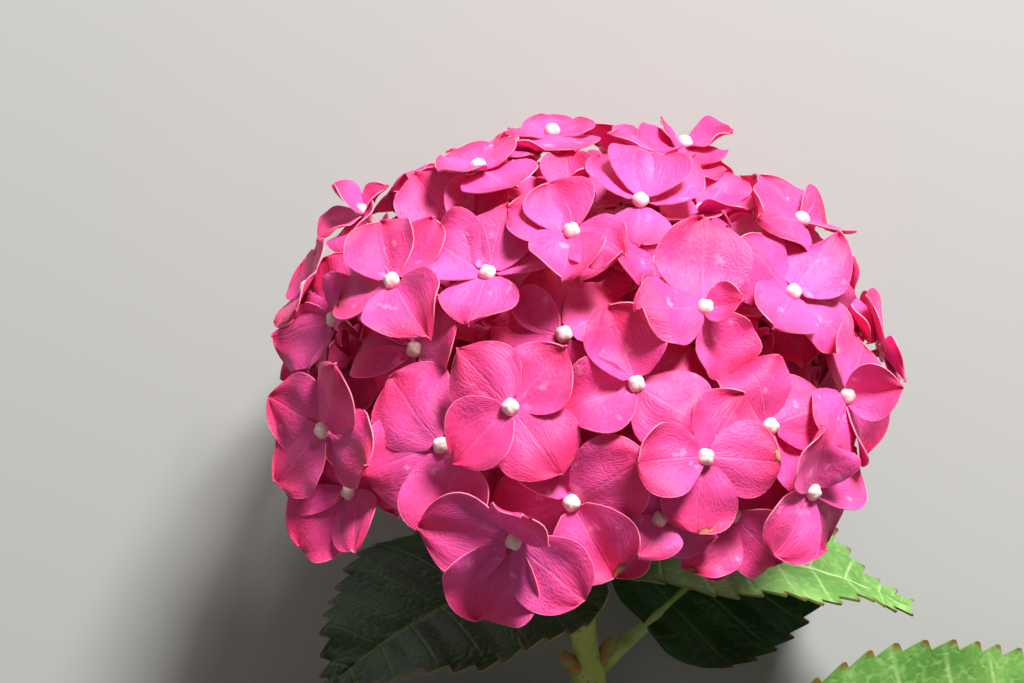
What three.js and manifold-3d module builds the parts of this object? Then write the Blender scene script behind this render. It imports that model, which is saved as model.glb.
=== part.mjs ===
// A flowering shoot cut from a mophead hydrangea, lying on its back on a level surface.
// A green stem runs from its flat cut to a domed head of four-sepalled florets, which stand on
// branching rays, and carries three pairs of toothed leaves. Millimetres and degrees, +Z up.
// The shoot lies along Y, with its flower head towards +Y and tipped up towards +Z.

import * as THREE from "three";
import { mergeVertices } from "three/addons/utils/BufferGeometryUtils.js";
import Module from "manifold-3d";

const gap = 0.3; // between a piece and what carries it

// The head's dome passes through the centres of its florets. It is round seen along its axis.
const domeRadius = 75;
const domeHeight = 62;
const skirtDepth = 34;
const headTilt = 39; // of the head's axis above the level

// One floret: four sepals round a bud, on a thin pedicel.
const sepalLength = 21;
const sepalThickness = 0.6;
const sepalStep = 0.05; // rise of one pair of sepals above the other, as a share of the length
const budRadius = 2.3;
const budHeight = 3.2;
const pedicelRadius = 0.9;
const pedicelSunk = 3; // of its foot into the tip of its ray
const floretSizes = [0.9, 1.1]; // of the smallest and the largest, against a middling one
const mostCup = 0.22; // the most that a sepal's tip stands up, as a share of its length

// A sepal's edge beside its tip: shares of the length, each with the half width there.
const sepalOutline = [
  [0.5, 0.47],
  [0.86, 0.33],
];
const sepalMiddle = 0.55;

// How the florets stand: no closer than the spacing, and in layers that let sepals pass.
const floretSpacing = 18;
const floretLayers = [4.5, 0, -5.5];
const layerReach = 1.7; // two florets this many spacings apart may share a layer
const spiralPlaces = 300; // places on a spiral round the dome, tried in turn
const lowestPolar = 104; // how far round the dome they go, from its top, on the side that lies down
const lopsided = 32; // how much less far that is on the side that lies up
const facingSpread = 9; // how far a floret may turn from its place's own direction

// The florets that are seen best from above, as [right, up, spin, size]. Right and up are where the
// line of sight to a floret's bud passes the middle of the rim, and the spin is the direction of one
// of its sepals, from the right. They turn by a share towards the light, which comes from above.
const eye = new THREE.Vector3(-18.8, 15.5, 700); // from the middle of the rim
const turnToLight = 0.35;
const shownFlorets = [
  [-19, -2, 44, 1.05],
  [14, 4, 105, 1.05],
  [32, -15, 80, 0.95],
  [49, -7, 40, 1],
  [-3, -27, 35, 1.15],
  [-18, -37, 65, 1.2],
  [-37, -12, 15, 1.15],
  [29, 4, 20, 0.9],
  [32, 24, 0, 1.1],
  [55, 28, 48, 1],
  [-3, 44, 20, 0.9],
  [15, 52, 45, 1],
  [-25, 33, 75, 1],
  [-32, 42, 42, 1],
  [-50, 31, 25, 1],
  [-44, 13, -10, 1],
  [-65, 21, 8, 0.95],
  [69, 1, 22, 1],
  [-5, 17, 18, 1],
  [57, 47, 30, 1],
  [-68, -8, 50, 1.05],
  [20, 36, 10, 1],
  [-60, 51, 30, 0.9],
  [-8, 70, 30, 0.9],
  [27, 68, 20, 0.9],
  [73, 33, 70, 0.8],
  [39, -30, 60, 0.95],
  [60, -24, 20, 0.95],
  [-61, -24, 50, 0.95],
  [20, -31, 65, 0.85],
];

// The rays: a few stout ones from the fork, each parting once more before the pedicels.
const forkDepth = 18; // of the fork below the rim
const mainRays = 6; // round the one that goes straight up
const mainRayPolar = 66;
const mainRayReach = 0.36; // share of the way from the fork to the dome
const mainRayRadius = 2.1;
const sideRays = 24;
const sideRayReach = 0.64;
const sideRayRadius = 1.3;
const lowestRayPolar = 90;
const rayTaper = 0.75; // radius of a ray's tip against its foot's

// The stem, measured along its line from the middle of the rim down to the cut.
const straightLength = 46; // as far as this it runs on along the head's axis
const bendLength = 62; // past that its slope fades to 1/e of itself in each such length
const stemYaw = 12; // to the right, seen from above
const peduncleFoot = 46; // where the head's own stalk stands on the stem
const cutAt = 214;
const stemRadiusAtCut = 4.6;
const stemRadiusAtTop = 3.1;
const nodeSwelling = 1.3;
const nodeReach = 5;
const stemSides = 12;
const stemStep = 6;

// Three pairs of leaves. at: where along the stem; heading: seen from above, from the right;
// climb: slope of the stalk; facing: slope of the direction that the upper side looks in;
// droop: how far the blade bends over, from its base to its tip.
const leaves = [
  {
    name: "leaf_upper_left", at: 60, heading: 186, climb: 33, facing: 20, droop: 36,
    stalk: 5, length: 81, width: 77,
  },
  {
    name: "leaf_upper_right", at: 60, heading: 9, climb: 6, facing: 30, droop: 44,
    stalk: 12, length: 84, width: 42,
  },
  {
    name: "leaf_middle_right", at: 96, heading: 42, climb: -2, facing: 80, droop: 20,
    stalk: 22, length: 74, width: 58,
  },
  {
    name: "leaf_middle_left", at: 96, heading: 222, climb: 18, facing: 70, droop: 46,
    stalk: 30, length: 104, width: 74,
  },
  {
    name: "leaf_lower_right", at: 170, heading: 28, climb: 14, facing: 100, droop: 48,
    stalk: 42, length: 112, width: 76,
  },
  {
    name: "leaf_lower_left", at: 170, heading: 168, climb: 10, facing: 84, droop: 36,
    stalk: 28, length: 98, width: 70,
  },
];
const leafThickness = 1.3;
const leafTeeth = 11; // on each side
const toothDepth = 2.4;
const bladePlaces = [-1, -0.5, 0, 0.5, 1]; // across the blade, as shares of its half width
const tipHalfWidth = 0.9;
const bladeShift = 0.62; // below 1, it moves the broadest place towards the base
const bladePowers = [0.6, 1.2]; // of the outline at the base and at the tip: more is more pointed
const tipPinch = 0.3; // share of its width that the tip loses
const veinSweep = 0.55; // how far a side vein runs forward for each step sideways, at the tip
const baseSweep = 0.35; // and how much less of that at the base, whose lobes reach back
const bladeFold = 0.2; // rise of each half from the midrib
const bladeArch = 0.0032; // fall of the margins, by the square of the distance from the midrib
const stalkFootRadius = 2.6;
const stalkRadius = 2.1;
const stalkSides = 6;
const midribReach = 0.8; // share of the blade that the midrib stands out under
const midribSteps = 7;
const midribDepth = 0.7;
const midribRadii = [1.8, 0.5]; // at the blade's base and at the midrib's end

// The buds in the corners between the stem and the leaves.
const budBack = 4; // of a bud's root above its leaf, along the stem
const budLength = 7;
const budLean = 2.5; // of its tip, clear of the stem
const budRadii = [2.4, 1.9, 0.4];
const budSides = 6;

const radians = THREE.MathUtils.degToRad;
const { lerp, mapLinear } = THREE.MathUtils;

const wasm = await Module();
wasm.setup();

// Numbers evenly spread from 0 to 1, the same at every run.
const modulus = 2 ** 31 - 1;
const multiplier = 7 ** 5;
let seed = 2024;
function random() {
  seed = (seed * multiplier) % modulus;
  return seed / modulus;
}

// A unit vector, from its heading seen from above and its slope above the level.
function direction(heading, slope) {
  return new THREE.Vector3(
    Math.cos(radians(slope)) * Math.cos(radians(heading)),
    Math.cos(radians(slope)) * Math.sin(radians(heading)),
    Math.sin(radians(slope)),
  );
}

// The part of a vector that is square to a unit vector, at unit length.
function squareTo(unit, vector) {
  return vector.clone().projectOnPlane(unit).normalize();
}

function geometryOf(vertices, faces) {
  return new THREE.BufferGeometry()
    .setAttribute("position", new THREE.Float32BufferAttribute(vertices.flatMap((v) => v.toArray()), 3))
    .setIndex(faces);
}

// A closed geometry as a solid that can be joined and cut, and such a solid as a geometry.
function solidOf(geometry) {
  const merged = mergeVertices(geometry);
  return new wasm.Manifold(
    new wasm.Mesh({
      numProp: 3,
      vertProperties: merged.attributes.position.array,
      triVerts: new Uint32Array(merged.index.array),
    }),
  );
}

function geometryFrom(solid) {
  const mesh = solid.getMesh();
  return new THREE.BufferGeometry()
    .setAttribute("position", new THREE.BufferAttribute(mesh.vertProperties, 3))
    .setIndex(new THREE.BufferAttribute(mesh.triVerts, 1));
}

// The largest body of a solid: scraps that nothing holds are dropped.
function largestBody(solid) {
  return solid.decompose().reduce((largest, body) => (body.volume() > largest.volume() ? body : largest));
}

function joined(geometries) {
  return largestBody(wasm.Manifold.union(geometries.map(solidOf)));
}

function namedMesh(name, solid, material) {
  const mesh = new THREE.Mesh(geometryFrom(solid), material);
  mesh.name = name;
  return mesh;
}

// A tapering limb through points, each with its own radius, closed by flat ends.
function limb(points, radii, sides) {
  const vertices = [];
  const faces = [];
  let across = new THREE.Vector3(1, 0, 0);
  points.forEach((point, i) => {
    const before = points[Math.max(i - 1, 0)];
    const after = points[Math.min(i + 1, points.length - 1)];
    const along = after.clone().sub(before).normalize();
    if (i === 0 && Math.abs(along.x) > 0.9) across.set(0, 1, 0);
    across = squareTo(along, across);
    for (let k = 0; k < sides; k++) {
      const spoke = across.clone().applyAxisAngle(along, (2 * Math.PI * k) / sides);
      vertices.push(point.clone().addScaledVector(spoke, radii[i]));
    }
  });
  for (let i = 0; i + 1 < points.length; i++) {
    for (let k = 0; k < sides; k++) {
      const a = i * sides + k;
      const b = i * sides + ((k + 1) % sides);
      faces.push(a, b, b + sides, a, b + sides, a + sides);
    }
  }
  const last = (points.length - 1) * sides;
  for (let k = 1; k + 1 < sides; k++) {
    faces.push(0, k + 1, k, last, last + k, last + k + 1);
  }
  return geometryOf(vertices, faces);
}

// The stem's line: its place and its direction at each millimetre from the middle of the rim.
const stemLine = [{ place: new THREE.Vector3() }];
for (let along = 0; along <= cutAt; along++) {
  const faded = Math.exp(-Math.max(0, along - straightLength) / bendLength);
  const way = direction(-90 + stemYaw * (1 - faded), -headTilt * faded);
  stemLine[along].way = way;
  stemLine.push({ place: stemLine[along].place.clone().add(way) });
}

function stemRadius(along) {
  const plain = mapLinear(along, 0, cutAt, stemRadiusAtTop, stemRadiusAtCut);
  const nearest = Math.min(...leaves.map((leaf) => Math.abs(along - leaf.at)));
  return plain * (1 + (nodeSwelling - 1) * Math.exp(-((nearest / nodeReach) ** 2)));
}

// The bud that sits in the corner above a leaf, against the stem.
function cornerBud(leaf, clearance) {
  const { place, way } = stemLine[leaf.at - budBack];
  const side = squareTo(way, direction(leaf.heading, leaf.climb));
  const root = place.clone().addScaledVector(side, stemRadiusAtTop / 2);
  const tip = place.clone().addScaledVector(side, stemRadius(leaf.at) + budLean);
  tip.addScaledVector(way, -budLength);
  const middle = root.clone().lerp(tip, 0.5).addScaledVector(side, budLean / 2);
  return limb([root, middle, tip], budRadii.map((radius) => radius + clearance), budSides);
}

// The whole stem with its buds, grown all round by a clearance.
function wholeStem(clearance) {
  const stations = [];
  for (let along = peduncleFoot; along < cutAt; along += stemStep) stations.push(along);
  stations.push(cutAt);
  const line = limb(
    stations.map((along) => stemLine[along].place),
    stations.map((along) => stemRadius(along) + clearance),
    stemSides,
  );
  return joined([line, ...leaves.map((leaf) => cornerBud(leaf, clearance))]);
}

// Half the blade's width at a share of its length: broad towards the base, drawn out to the tip.
function bladeHalfWidth(leaf, share) {
  const round = Math.sin(Math.PI * share ** bladeShift) ** lerp(...bladePowers, share);
  return Math.max(tipHalfWidth, (leaf.width / 2) * round * (1 - tipPinch * share ** 4));
}

// A point of the blade's middle surface, and the direction that its upper side looks in there.
// The blade bends over evenly along its length, and a tooth reaches forward of its row.
function bladePoint(leaf, share, sideways, forward) {
  const swept = veinSweep * (Math.sqrt(share) - baseSweep) * Math.abs(sideways);
  const along = share * leaf.length + swept + forward;
  const bend = radians(leaf.droop) / leaf.length;
  const face = new THREE.Vector3(Math.sin(bend * along), 0, Math.cos(bend * along));
  const rise = bladeFold * Math.abs(sideways) - bladeArch * sideways ** 2;
  const point = new THREE.Vector3(leaf.stalk + face.x / bend, sideways, (face.z - 1) / bend);
  return { point: point.addScaledVector(face, rise), face };
}

// The blade: rows that follow the side veins, every other one ending in a tooth on each side.
function blade(leaf) {
  const rows = 2 * leafTeeth;
  const upper = [];
  const lower = [];
  for (let row = 0; row <= rows; row++) {
    for (const place of bladePlaces) {
      const tooth = row % 2 === 1 && Math.abs(place) === 1 ? toothDepth : 0;
      const sideways = place * (bladeHalfWidth(leaf, row / rows) + tooth);
      const { point, face } = bladePoint(leaf, row / rows, sideways, tooth);
      upper.push(point.clone().addScaledVector(face, leafThickness / 2));
      lower.push(point.clone().addScaledVector(face, -leafThickness / 2));
    }
  }
  const faces = [];
  const wide = bladePlaces.length;
  const under = upper.length;
  for (let row = 0; row < rows; row++) {
    for (let k = 0; k + 1 < wide; k++) {
      const a = row * wide + k;
      const [b, c, d] = [a + 1, a + wide + 1, a + wide];
      faces.push(a, d, c, a, c, b);
      faces.push(a + under, c + under, d + under, a + under, b + under, c + under);
    }
  }
  const rim = [];
  for (let k = 0; k < wide; k++) rim.push(k);
  for (let row = 1; row <= rows; row++) rim.push(row * wide + wide - 1);
  for (let k = wide - 2; k >= 0; k--) rim.push(rows * wide + k);
  for (let row = rows - 1; row > 0; row--) rim.push(row * wide);
  rim.forEach((a, i) => {
    const b = rim[(i + 1) % rim.length];
    faces.push(a, b, b + under, a, b + under, a + under);
  });
  return geometryOf([...upper, ...lower], faces);
}

// The stalk, which runs on under the blade as its midrib.
function stalk(leaf) {
  const points = [
    new THREE.Vector3(stemRadiusAtTop / 3, 0, -2 * midribDepth),
    new THREE.Vector3(leaf.stalk / 2, 0, -midribDepth),
  ];
  const radii = [stalkFootRadius, stalkRadius];
  for (let i = 0; i <= midribSteps; i++) {
    const { point, face } = bladePoint(leaf, (midribReach * i) / midribSteps, 0, 0);
    points.push(point.addScaledVector(face, -midribDepth));
    radii.push(lerp(...midribRadii, i / midribSteps));
  }
  return limb(points, radii, stalkSides);
}

// A leaf is placed by its own frame: X along the stalk and Z out of its upper side. The stem, with
// its gap, is cut away from the stalk's foot.
function leafMesh(leaf, stemWithGap, material) {
  const x = direction(leaf.heading, leaf.climb);
  const z = squareTo(x, direction(90, leaf.facing));
  const placed = new THREE.Matrix4().makeBasis(x, z.clone().cross(x), z);
  placed.setPosition(stemLine[leaf.at].place);
  const stemThere = stemWithGap.transform(placed.clone().invert().elements);
  const whole = joined([blade(leaf), stalk(leaf)]).subtract(stemThere);
  const mesh = namedMesh(leaf.name, largestBody(whole), material);
  placed.decompose(mesh.position, mesh.quaternion, mesh.scale);
  return mesh;
}

// The flower head has a frame of its own: Z along its axis, and the rim's middle at the origin.
const head = new THREE.Group();
head.rotation.x = radians(headTilt - 90);
head.updateMatrixWorld(true);
const toHead = head.matrixWorld.clone().invert();

function onDome(polar, azimuth) {
  const height = polar < Math.PI / 2 ? domeHeight : skirtDepth;
  return new THREE.Vector3(
    domeRadius * Math.sin(polar) * Math.cos(azimuth),
    domeRadius * Math.sin(polar) * Math.sin(azimuth),
    height * Math.cos(polar),
  );
}

function outOfDome(place) {
  const height = place.z > 0 ? domeHeight : skirtDepth;
  return new THREE.Vector3(
    place.x / domeRadius ** 2,
    place.y / domeRadius ** 2,
    place.z / height ** 2,
  ).normalize();
}

// Where the line of sight from the eye first meets the dome, or comes nearest to it, when the dome
// is grown all round by an offset.
function inSight(right, above, offset) {
  const unitSphere = new THREE.Sphere(new THREE.Vector3(), 1);
  const meeting = (height) => {
    const size = new THREE.Vector3(domeRadius, domeRadius, height).addScalar(offset);
    const sight = new THREE.Ray(eye.clone().applyMatrix4(toHead).divide(size));
    sight.lookAt(new THREE.Vector3(right, above, 0).applyMatrix4(toHead).divide(size));
    const met = new THREE.Vector3();
    if (sight.intersectSphere(unitSphere, met) === null) {
      sight.closestPointToPoint(unitSphere.center, met).normalize();
    }
    return met.multiply(size);
  };
  const met = meeting(domeHeight);
  return met.z > 0 ? met : meeting(skirtDepth);
}

// Places on a spiral over the dome, down to the lowest polar angle.
function spiralPlace(i, places, lowest) {
  const polar = Math.acos(1 - ((i + 0.5) / places) * (1 - Math.cos(radians(lowest))));
  return { polar, azimuth: i * Math.PI * (3 - Math.sqrt(5)) };
}

// Every floret: where it stands at an offset from the dome, the direction it faces, that of one
// sepal, its size and its cup. The shown ones come first, and the spiral fills in round them.
const florets = shownFlorets.map(([right, above, spin, size]) => {
  const stand = (offset) => inSight(right, above, offset);
  const light = direction(0, 90).transformDirection(toHead);
  const face = outOfDome(stand(0)).addScaledVector(light, turnToLight).normalize();
  const first = direction(spin, 0).transformDirection(toHead);
  return { stand, place: stand(0), face, first, size, cup: mostCup * random() ** 2 };
});

for (let i = 0; i < spiralPlaces; i++) {
  const { polar, azimuth } = spiralPlace(i, spiralPlaces, lowestPolar);
  const place = onDome(polar, azimuth);
  const upSide = (1 - Math.sin(azimuth)) / 2;
  if (polar > radians(lowestPolar - lopsided * upSide)) continue;
  if (florets.some((other) => other.place.distanceTo(place) < floretSpacing)) continue;
  const first = direction(360 * random(), 0);
  const leanAxis = direction(360 * random(), 0);
  const face = outOfDome(place).applyAxisAngle(leanAxis, radians(facingSpread) * random());
  const stand = (offset) => place.clone().addScaledVector(face, offset);
  const size = lerp(...floretSizes, random());
  florets.push({ stand, place, face, first, size, cup: mostCup * random() ** 2 });
}

// Neighbours stand in different layers, as far as three layers allow.
florets.forEach((one, i) => {
  const crowd = floretLayers.map(() => 0);
  for (const other of florets.slice(0, i)) {
    const distance = other.place.distanceTo(one.place) / floretSpacing;
    crowd[other.layer] += Math.max(0, layerReach - distance);
  }
  one.layer = crowd.indexOf(Math.min(...crowd));
});
for (const one of florets) one.place = one.stand(floretLayers[one.layer]);

// One floret as a closed solid: top and bottom of four sepals, the bud, and the pedicel to its foot.
function floret({ place, face, first, size, cup }, foot) {
  const x = squareTo(face, first);
  const length = sepalLength * size;
  const vertices = [];
  const faces = [];
  const add = (turn, reach, rise) => {
    const spoke = x.clone().applyAxisAngle(face, turn);
    return vertices.push(place.clone().addScaledVector(spoke, reach).addScaledVector(face, rise)) - 1;
  };
  const quarters = [0, 1, 2, 3];
  const ring = (radius, rise) => quarters.map((k) => add(((k - 0.5) * Math.PI) / 2, radius, rise));
  const above = ring(budRadius, sepalThickness / 2);
  const below = ring(budRadius, -sepalThickness / 2);
  const neck = ring(pedicelRadius, -budHeight);
  const crown = add(0, 0, budHeight);
  const end = vertices.push(foot) - 1;
  for (const k of quarters) {
    const next = (k + 1) % 4;
    const axis = (k * Math.PI) / 2;
    const rise = (share) => length * (cup * share ** 2 + sepalStep * (k % 2));
    const edge = (share, half) =>
      add(axis + Math.atan2(half, share), length * Math.hypot(share, half), rise(share));
    const right = sepalOutline.map(([share, half]) => edge(share, -half));
    const tip = edge(1, 0);
    const left = sepalOutline.map(([share, half]) => edge(share, half)).reverse();
    const rim = [...right, tip, ...left];
    const top = add(axis, length * sepalMiddle, rise(sepalMiddle) + sepalThickness);
    const bottom = add(axis, length * sepalMiddle, rise(sepalMiddle) + sepalThickness / 3);
    const upper = [above[k], ...rim, above[next]];
    const under = [below[k], ...rim, below[next]];
    upper.forEach((a, i) => faces.push(top, a, upper[(i + 1) % upper.length]));
    under.forEach((a, i) => faces.push(bottom, under[(i + 1) % under.length], a));
    faces.push(above[k], below[k], rim[0]);
    faces.push(above[next], rim[rim.length - 1], below[next]);
    faces.push(above[k], above[next], crown);
    faces.push(below[k], neck[k], neck[next], below[k], neck[next], below[next]);
    faces.push(neck[k], end, neck[next]);
  }
  return geometryOf(vertices, faces);
}

// The tips of the rays, which share the way from the fork to the dome.
const fork = new THREE.Vector3(0, 0, -forkDepth);
const mainTips = [onDome(0, 0)];
for (let k = 0; k < mainRays; k++) {
  mainTips.push(onDome(radians(mainRayPolar), (2 * Math.PI * k) / mainRays));
}
for (const tip of mainTips) tip.lerp(fork, 1 - mainRayReach);
const sideTips = [];
for (let k = 0; k < sideRays; k++) {
  const { polar, azimuth } = spiralPlace(k, sideRays, lowestRayPolar);
  sideTips.push(onDome(polar, azimuth).lerp(fork, 1 - sideRayReach));
}

function nearest(place, tips) {
  return tips.reduce((best, tip) => (tip.distanceTo(place) < best.distanceTo(place) ? tip : best));
}

// A ray starts a little before the fork that it springs from.
function ray(from, to, radius) {
  const start = from.clone().lerp(to, -radius / from.distanceTo(to));
  return limb([start, to], [radius, radius * rayTaper], 4);
}

// The head: its own stalk, the rays and the florets, all in the head's frame.
function flowerHead() {
  const foot = stemLine[peduncleFoot].place.clone().applyMatrix4(toHead);
  foot.z += gap;
  const stalkTop = fork.clone().setZ(mainRayRadius - forkDepth);
  const pieces = [limb([foot, stalkTop], [stemRadius(peduncleFoot), stemRadiusAtTop], stemSides)];
  for (const tip of mainTips) pieces.push(ray(fork, tip, mainRayRadius));
  for (const tip of sideTips) pieces.push(ray(nearest(tip, mainTips), tip, sideRayRadius));
  for (const one of florets) {
    const tip = nearest(one.place, sideTips);
    const back = nearest(tip, mainTips).clone().sub(tip).setLength(pedicelSunk);
    pieces.push(floret(one, tip.clone().add(back)));
  }
  return joined(pieces);
}

const stemMaterial = new THREE.MeshStandardMaterial({ color: 0x7fa04a, roughness: 0.6, metalness: 0 });
const leafMaterial = new THREE.MeshStandardMaterial({ color: 0x3d7a22, roughness: 0.5, metalness: 0 });
const sepalMaterial = new THREE.MeshStandardMaterial({ color: 0xf0468c, roughness: 0.65, metalness: 0 });

// The shoot, moved so that the box round it stands on the surface with its middle at the origin.
const shoot = new THREE.Group();
shoot.add(namedMesh("stem", wholeStem(0), stemMaterial));
const stemWithGap = wholeStem(gap);
for (const leaf of leaves) shoot.add(leafMesh(leaf, stemWithGap, leafMaterial));
head.add(namedMesh("flower_head", flowerHead(), sepalMaterial));
shoot.add(head);
const box = new THREE.Box3().setFromObject(shoot, true);
const middle = box.getCenter(new THREE.Vector3());
shoot.position.set(-middle.x, -middle.y, -box.min.z);

export default shoot;
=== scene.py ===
# The looks of a flowering shoot cut from a mophead hydrangea, lying on its back on a pale floor.
# Lengths are in millimetres until a mesh or an object is made, and angles are given in degrees.
# The shoot lies along Y, with its flower head towards +Y and tipped up towards +Z.

import math

import bpy
import numpy as np
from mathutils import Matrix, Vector
from mathutils.bvhtree import BVHTree


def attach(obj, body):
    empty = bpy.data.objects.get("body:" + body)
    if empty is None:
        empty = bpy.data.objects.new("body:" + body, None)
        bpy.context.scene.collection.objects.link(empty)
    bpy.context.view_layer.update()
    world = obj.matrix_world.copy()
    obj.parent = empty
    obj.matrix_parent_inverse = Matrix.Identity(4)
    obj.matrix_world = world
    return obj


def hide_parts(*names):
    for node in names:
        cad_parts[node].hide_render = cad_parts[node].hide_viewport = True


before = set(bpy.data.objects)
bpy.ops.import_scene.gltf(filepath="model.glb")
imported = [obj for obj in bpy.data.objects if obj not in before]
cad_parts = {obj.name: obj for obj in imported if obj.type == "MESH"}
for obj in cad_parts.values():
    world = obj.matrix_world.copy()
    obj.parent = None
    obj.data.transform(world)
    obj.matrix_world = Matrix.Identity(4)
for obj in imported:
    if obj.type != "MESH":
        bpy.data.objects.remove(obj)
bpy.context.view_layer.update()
mm = 0.001

# The camera looks straight down on the shoot, from above the middle of the head's rim and a
# little to its left. Its picture spans the head and the first leaves.
rim_middle = np.array([-17.81, 58.70, 73.69])
eye = np.array([-18.8, 15.5, 700])
picture_width = 1024
pixel = 0.265
sensor = 36
bpy.ops.object.camera_add(location=(rim_middle + eye) * mm, rotation=(0, 0, 0))
camera = bpy.context.object
camera.name = "camera"
camera.data.sensor_width = sensor
camera.data.lens = sensor * eye[2] / (picture_width * pixel)
camera.data.clip_start = 0.05
bpy.context.scene.camera = camera

# The head is a dome of florets, round about its own axis, which rises from the level towards +Y.
# First come the florets seen best, each with the place of its bud from the rim's middle, the spin
# of a sepal and its size. A seeded spiral over the dome sets all the others.
head_tilt = math.radians(39)
dome_radius = 75
dome_height = 62
skirt_depth = 34
sepal_length = 21
floret_seed = 2024
floret_spacing = 18
floret_layers = [4.5, 0, -5.5]
layer_reach = 1.7
spiral_places = 300
lowest_polar = 104
lopsided = 32
facing_spread = 9
floret_sizes = (0.9, 1.1)
most_cup = 0.22
turn_up = 0.35
shown_florets = [
    (-19, -2, 44, 1.05),
    (14, 4, 105, 1.05),
    (32, -15, 80, 0.95),
    (49, -7, 40, 1),
    (-3, -27, 35, 1.15),
    (-18, -37, 65, 1.2),
    (-37, -12, 15, 1.15),
    (29, 4, 20, 0.9),
    (32, 24, 0, 1.1),
    (55, 28, 48, 1),
    (-3, 44, 20, 0.9),
    (15, 52, 45, 1),
    (-25, 33, 75, 1),
    (-32, 42, 42, 1),
    (-50, 31, 25, 1),
    (-44, 13, -10, 1),
    (-65, 21, 8, 0.95),
    (69, 1, 22, 1),
    (-5, 17, 18, 1),
    (57, 47, 30, 1),
    (-68, -8, 50, 1.05),
    (20, 36, 10, 1),
    (-60, 51, 30, 0.9),
    (-8, 70, 30, 0.9),
    (27, 68, 20, 0.9),
    (73, 33, 70, 0.8),
    (39, -30, 60, 0.95),
    (60, -24, 20, 0.95),
    (-61, -24, 50, 0.95),
    (20, -31, 65, 0.85),
]

# The head's own directions in the shoot's frame, as columns: the third is the head's axis.
head_axes = np.array([
    [1, 0, 0],
    [0, math.sin(head_tilt), math.cos(head_tilt)],
    [0, -math.cos(head_tilt), math.sin(head_tilt)],
])
to_head = head_axes.T
up_in_head = to_head @ np.array([0, 0, 1])


def random_numbers(seed):
    """Numbers evenly spread from 0 to 1, the same at every run."""
    modulus = 2 ** 31 - 1
    multiplier = 7 ** 5
    while True:
        seed = seed * multiplier % modulus
        yield seed / modulus


def unit(vector):
    return vector / np.linalg.norm(vector)


def square_to(axis, vector):
    """What a vector has square to an axis, as a unit vector."""
    return unit(vector - axis * np.dot(axis, vector))


def direction(heading, slope):
    """A unit vector, from its heading seen from above and its slope above the level."""
    heading, slope = math.radians(heading), math.radians(slope)
    level = math.cos(slope)
    return np.array([level * math.cos(heading), level * math.sin(heading), math.sin(slope)])


def turned(vector, axis, angle):
    """A vector turned about an axis by an angle in radians."""
    along = axis * np.dot(axis, vector)
    across = vector - along
    return along + across * math.cos(angle) + np.cross(axis, across) * math.sin(angle)


def on_dome(polar, azimuth):
    """A point of the dome, from its angle off the head's axis and its angle round it."""
    height = dome_height if polar < math.pi / 2 else skirt_depth
    return np.array([
        dome_radius * math.sin(polar) * math.cos(azimuth),
        dome_radius * math.sin(polar) * math.sin(azimuth),
        height * math.cos(polar),
    ])


def out_of_dome(place):
    """The way straight out of the dome at a place."""
    height = dome_height if place[2] > 0 else skirt_depth
    return unit(place / np.array([dome_radius, dome_radius, height]) ** 2)


def in_sight(right, above, offset):
    """Where the line of sight meets the dome, grown by an offset, or comes nearest to it."""
    def meeting(height):
        size = np.array([dome_radius, dome_radius, height]) + offset
        start = to_head @ eye / size
        way = unit(to_head @ np.array([right, above, 0]) / size - start)
        nearest = -np.dot(start, way)
        clear = 1 - np.dot(start, start) + nearest ** 2
        if clear < 0:
            return unit(start + way * nearest) * size
        return (start + way * (nearest - math.sqrt(clear))) * size
    met = meeting(dome_height)
    return met if met[2] > 0 else meeting(skirt_depth)


def spiral_place(i, places, lowest):
    """The angles of one of many places, evenly spread from the dome's top down to an angle."""
    share = (i + 0.5) / places
    polar = math.acos(1 - share * (1 - math.cos(math.radians(lowest))))
    return polar, i * math.pi * (3 - math.sqrt(5))


def past_edge(polar, azimuth):
    """Whether a place lies past the head's edge, which reaches less far down on its upper side."""
    up_side = (1 - math.sin(azimuth)) / 2
    return polar > math.radians(lowest_polar - lopsided * up_side)


def between(low, high, share):
    return low + (high - low) * share


# A floret has a way it faces, a way its first sepal points, a size, and a cup, how hollow it is.
# Its stand gives its place at an offset from the dome, which sets florets that crowd in layers.
random = random_numbers(floret_seed)
florets = []
for right, above, spin, size in shown_florets:
    stand = lambda offset, right=right, above=above: in_sight(right, above, offset)
    face = unit(out_of_dome(stand(0)) + up_in_head * turn_up)
    first = to_head @ direction(spin, 0)
    cup = most_cup * next(random) ** 2
    floret = {"stand": stand, "face": face, "first": first, "size": size, "cup": cup}
    florets.append(dict(floret, place=stand(0)))
for i in range(spiral_places):
    polar, azimuth = spiral_place(i, spiral_places, lowest_polar)
    place = on_dome(polar, azimuth)
    apart = min(np.linalg.norm(one["place"] - place) for one in florets)
    if past_edge(polar, azimuth) or apart < floret_spacing:
        continue
    first = direction(360 * next(random), 0)
    lean_axis = direction(360 * next(random), 0)
    face = turned(out_of_dome(place), lean_axis, math.radians(facing_spread) * next(random))
    stand = lambda offset, place=place, face=face: place + face * offset
    size = between(*floret_sizes, next(random))
    cup = most_cup * next(random) ** 2
    floret = {"stand": stand, "face": face, "first": first, "size": size, "cup": cup}
    florets.append(dict(floret, place=place))
for i, one in enumerate(florets):
    crowd = [0] * len(floret_layers)
    for other in florets[:i]:
        distance = np.linalg.norm(other["place"] - one["place"]) / floret_spacing
        crowd[other["layer"]] += max(0, layer_reach - distance)
    one["layer"] = crowd.index(min(crowd))
for one in florets:
    one["place"] = one["stand"](floret_layers[one["layer"]])

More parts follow.
